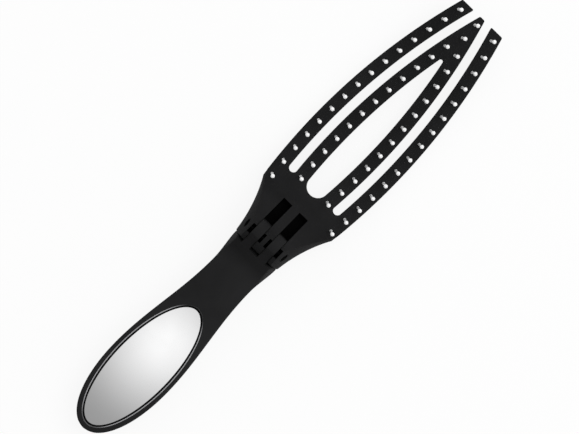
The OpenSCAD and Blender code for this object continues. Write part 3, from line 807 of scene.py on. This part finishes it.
# The bead's round, without the groove's wall below it, which gets the painted highlight.
def onBead(x, y, z):
    along = (y + mirror["at"]) / cos(mirrorTilt)
    reach = mirror["beadReach"] + hair
    inner, outer = [hypot(x / (mirror["halfWidth"] + grow), along / (mirror["halfLength"] + grow))
                    for grow in (mirror["beadAt"] - reach, mirror["beadAt"] + reach)]
    return inner > 1 > outer and z > handleFront(-y) - overlap


beadHighlight = {
    "bright": (0.38, 0.38, 0.39), "dark": (0.012, 0.012, 0.0125), "specular": 0.3,
    "roughness": (0.3, 0.42), "wipesPerMetre": 120,
    "nearFade": (0.76, 0.98), "farFade": (-1.02, -0.80),  # places in half lengths toward the hinge
    "farHighlight": 0.22,
}


# Painted highlight on the bead: bright along the mirror's sides, duller far from the hinge and dark near it.
def makeBeadMaterial():
    material, tree, shader = newMaterial("paintedHighlightBead")
    place = tree.nodes.new("ShaderNodeTexCoord")
    parts = tree.nodes.new("ShaderNodeSeparateXYZ")
    link(tree, place, "Object", parts, "Vector")
    middle, half = hingeAt.y - mirror["at"] * mm, mirror["halfLength"] * mm
    nearEnds = [middle + share * half for share in beadHighlight["nearFade"]]
    farEnds = [middle + share * half for share in beadHighlight["farFade"]]
    nearFade = spread(tree, parts, "Y", nearEnds, (1, 0), "SMOOTHSTEP")
    farFade = spread(tree, parts, "Y", farEnds, (beadHighlight["farHighlight"], 1), "SMOOTHSTEP")
    rubbedAndHighlit = tree.nodes.new("ShaderNodeMath")
    rubbedAndHighlit.operation = "MULTIPLY"
    link(tree, nearFade, 0, rubbedAndHighlit, 0)
    link(tree, farFade, 0, rubbedAndHighlit, 1)
    mixColours(tree, rubbedAndHighlit, 0, beadHighlight["dark"], beadHighlight["bright"], shader)
    wipeSurface(tree, shader, beadHighlight["wipesPerMetre"], beadHighlight["roughness"])
    shader.inputs["Specular IOR Level"].default_value = beadHighlight["specular"]
    return material


plate = {
    "halfLength": 25, "halfWidth": 8.5, "at": 77, "proud": 0.6, "thick": 2.2, "clear": 0.1,
    "crownWide": 3.2, "crownRise": 0.45,  # how its outer face falls away toward its rim
    "rimRound": 0.25,  # rounding of the handle around it
}
plateFace = -handle["paddleDrop"] - plate["proud"]


def ovalRing(grow, z, count=96):
    turns = [2 * pi * i / count for i in range(count)]
    return [((plate["halfWidth"] + grow) * cos(a), (plate["halfLength"] + grow) * sin(a) - plate["at"], z)
            for a in turns]


def makeHandle():
    reach = handle["reach"]
    stations = [reach - (reach - handle["paddleAt"]) * (1 - sin(radians(b))) for b in range(90, 0, -3)]
    stations += stepsBetween(handle["paddleAt"], rampFoot, handle["spacing"])
    stations += stepsBetween(rampFoot, handle["shoulderAt"], handle["rampSpacing"])[1:]
    shell = loft("handleShell", [handleRing(u) for u in stations])
    noseAt = rampTop + handle["noseClear"]
    nose = [(-noseAt, rampTop - noseAt), (-noseAt - overlap, far), (0, far), (0, -handle["noseDrop"]),
            (-handle["shoulderAt"], -handle["noseDrop"])]
    k = knuckle
    for across in ((-k["prongIn"], k["prongIn"]), (k["prongOut"], far), (-far, -k["prongOut"])):
        combine(shell, prismAcross("noseCut", nose, *across), "DIFFERENCE")
    heel = -handle["backDrop"] + handle["lipWall"] / 2
    rootAt = -handle["shoulderAt"] - handle["prongRoot"]
    rampAtShoulder = rampTop - handle["shoulderAt"]
    prong = [(rootAt, heel), (rootAt, rampAtShoulder - handle["prongRootDrop"]),
             (-handle["shoulderAt"], rampAtShoulder)]
    prong += arcPoints(0, 0, k["radius"], 180 - degrees(rampAngle), 0, 24)
    prong += [(k["radius"], -handle["heelDrop"]), (handle["lipReach"], -handle["heelDrop"]),
              (handle["lipReach"], heel)]
    for side in (-1, 1):
        across = sorted((side * k["prongIn"], side * k["prongOut"]))
        combine(shell, prismAcross("prong", prong, *across), "UNION")
    lipHalf, lipTop = k["earIn"] - handle["lipGap"], -handle["backDrop"] + handle["lipWall"]
    combine(shell, block("lip", (-lipHalf, -handle["shoulderAt"] - handle["lipWall"], -handle["backDrop"]),
                         (lipHalf, handle["lipReach"], lipTop)), "UNION")
    combine(shell, rod("pinBore", k["pinRadius"] + handle["pinClear"], -far, far), "DIFFERENCE")
    combine(shell, makeBead(), "UNION")
    combine(shell, makeSeatCutter(), "DIFFERENCE")
    r, flare = plate["rimRound"], 1
    combine(shell, loft("plateSeat", [
        ovalRing(plate["clear"] + r + flare, -far),
        ovalRing(plate["clear"] + r, -handle["paddleDrop"] - hair),
        ovalRing(plate["clear"], -handle["paddleDrop"] + r),
        ovalRing(plate["clear"], plateFace + plate["thick"]),
    ]), "DIFFERENCE")
    settle(shell, "handle", ["handle_body"], handleMaterial)
    # Painted highlight on the bead's round.
    paintLightOnFaces(shell, makeBeadMaterial(), onBead)


makeHandle()


def makePlate():
    wide, rise = plate["crownWide"], plate["crownRise"]
    crown = [ovalRing(-wide * (1 - cos(a)), plateFace + rise * (1 - sin(a)))
             for a in [pi / 2 * i / 12 for i in range(12, -1, -1)]]
    piece = loft("backPlate", crown + [ovalRing(0, plateFace + plate["thick"])])
    settle(piece, "handle", ["back_plate"], handleMaterial)


def makePane():
    r = mirror["edgeRound"]
    bevel = [mirrorRing(-r * (1 - cos(a)), -r * (1 - sin(a))) for a in [pi / 2 * i / 4 for i in range(5)]]
    piece = loft("mirrorPane", [mirrorRing(0, -mirror["thick"])] + bevel)
    settle(piece, "handle", ["mirror_glass"], mirrorMaterial, 20)


makePlate()
makePane()


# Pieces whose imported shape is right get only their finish.
def finishNode(name, material):
    node = frame["nodes"][name]
    node.data.materials.clear()
    node.data.materials.append(material)


for name in frame["nodes"]:
    if name.startswith("pin_row_"):
        finishNode(name, nylonMaterial)
finishNode("hinge_pin", wireMaterial)
finishNode("mirror_pad", foamMaterial)
print("pins, hinge pin and pad finished")


# Pale floor, a studio that is bright over the tips and dim beyond the handle, and one broad lamp.
studio = {
    "floorSize": 6, "floorColour": (0.90, 0.90, 0.90), "floorRoughness": 0.9, "floorGlow": 0.88,
    "skyDim": 0.36, "skyBright": 0.85, "dimAt": -0.8, "brightAt": 0.4,  # y of the way looked
    "softbox": (0.000, -0.2120, 0.9773), "softboxLevel": 1.09,  # way to its middle
    "softboxFade": (-0.0027, 0.0326),  # distances from that way between which it fades
    "screen": 0.34, "screenReach": 0.14,  # dim screen around the softbox
    "keyPower": 13, "keySize": 1.2, "keyAt": (0.35, 0.75, 1.6), "keyAim": (0, 0.05, 0),
}


# One for a camera ray or a ray of the other kinds named, and nought for the rest.
def seenRays(tree, *others):
    rays = tree.nodes.new("ShaderNodeLightPath")
    seen = rays, "Is Camera Ray"
    for other in others:
        either = tree.nodes.new("ShaderNodeMath")
        either.operation = "MAXIMUM"
        link(tree, *seen, either, 0)
        link(tree, rays, other, either, 1)
        seen = either, 0
    return seen


def makeFloor():
    bm = bmesh.new()
    bmesh.ops.create_grid(bm, x_segments=1, y_segments=1, size=studio["floorSize"] / 2)
    floor = newPiece("floor", bm)
    material, tree, shader = newMaterial("paleFloor")
    shader.inputs["Base Color"].default_value = (*studio["floorColour"], 1)
    shader.inputs["Roughness"].default_value = studio["floorRoughness"]
    shader.inputs["Specular IOR Level"].default_value = 0
    seen = seenRays(tree, "Is Glossy Ray", "Is Transmission Ray")
    glow = tree.nodes.new("ShaderNodeEmission")
    glow.inputs["Color"].default_value = (1, 1, 1, 1)
    share = tree.nodes.new("ShaderNodeMath")
    share.operation = "MULTIPLY"
    share.inputs[1].default_value = studio["floorGlow"]
    mix = tree.nodes.new("ShaderNodeMixShader")
    link(tree, *seen, share, 0)
    link(tree, share, 0, mix, 0)
    link(tree, shader, 0, mix, 1)
    link(tree, glow, 0, mix, 2)
    link(tree, mix, 0, tree.nodes["Material Output"], "Surface")
    floor.data.materials.append(material)


# A value that goes to a level as the factor goes to one.
def blend(tree, factor, first, level):
    mix = tree.nodes.new("ShaderNodeMix")
    link(tree, *factor, mix, "Factor")
    link(tree, *first, mix, "A")
    mix.inputs["B"].default_value = level
    return mix


def makeWorld():
    world = bpy.data.worlds.new("studio")
    bpy.context.scene.world = world
    world.use_nodes = True
    tree = world.node_tree
    base = tree.nodes["Background"]
    base.inputs["Color"].default_value = (1, 1, 1, 1)
    way = tree.nodes.new("ShaderNodeTexCoord")
    parts = tree.nodes.new("ShaderNodeSeparateXYZ")
    link(tree, way, "Generated", parts, "Vector")
    skyEnds, skyLevels = (studio["dimAt"], studio["brightAt"]), (studio["skyDim"], studio["skyBright"])
    sky = spread(tree, parts, "Y", skyEnds, skyLevels)
    apart = tree.nodes.new("ShaderNodeVectorMath")
    apart.operation = "DISTANCE"
    apart.inputs[1].default_value = studio["softbox"]
    link(tree, way, "Generated", apart, 0)
    fade = studio["softboxFade"]
    lit = spread(tree, apart, "Value", fade, (1, 0), "SMOOTHSTEP")
    hung = spread(tree, apart, "Value", (fade[1], studio["screenReach"]), (1, 0), "SMOOTHSTEP")
    screen = blend(tree, (hung, 0), (sky, 0), studio["screen"])
    softbox = blend(tree, (lit, 0), (screen, "Result"), studio["softboxLevel"])
    shown = blend(tree, seenRays(tree, "Is Transmission Ray"), (softbox, "Result"), 1)
    link(tree, shown, "Result", base, "Strength")


def makeKeyLamp():
    lamp = bpy.data.lights.new("key", "AREA")
    lamp.size = studio["keySize"]
    lamp.energy = studio["keyPower"]
    holder = bpy.data.objects.new("key", lamp)
    holder.location = studio["keyAt"]
    way = Vector(studio["keyAim"]) - Vector(studio["keyAt"])
    holder.rotation_euler = way.to_track_quat("-Z", "Y").to_euler()
    bpy.context.scene.collection.objects.link(holder)


makeFloor()
makeWorld()
makeKeyLamp()
bpy.context.scene.view_settings.view_transform = "Standard"
print("studio ready")
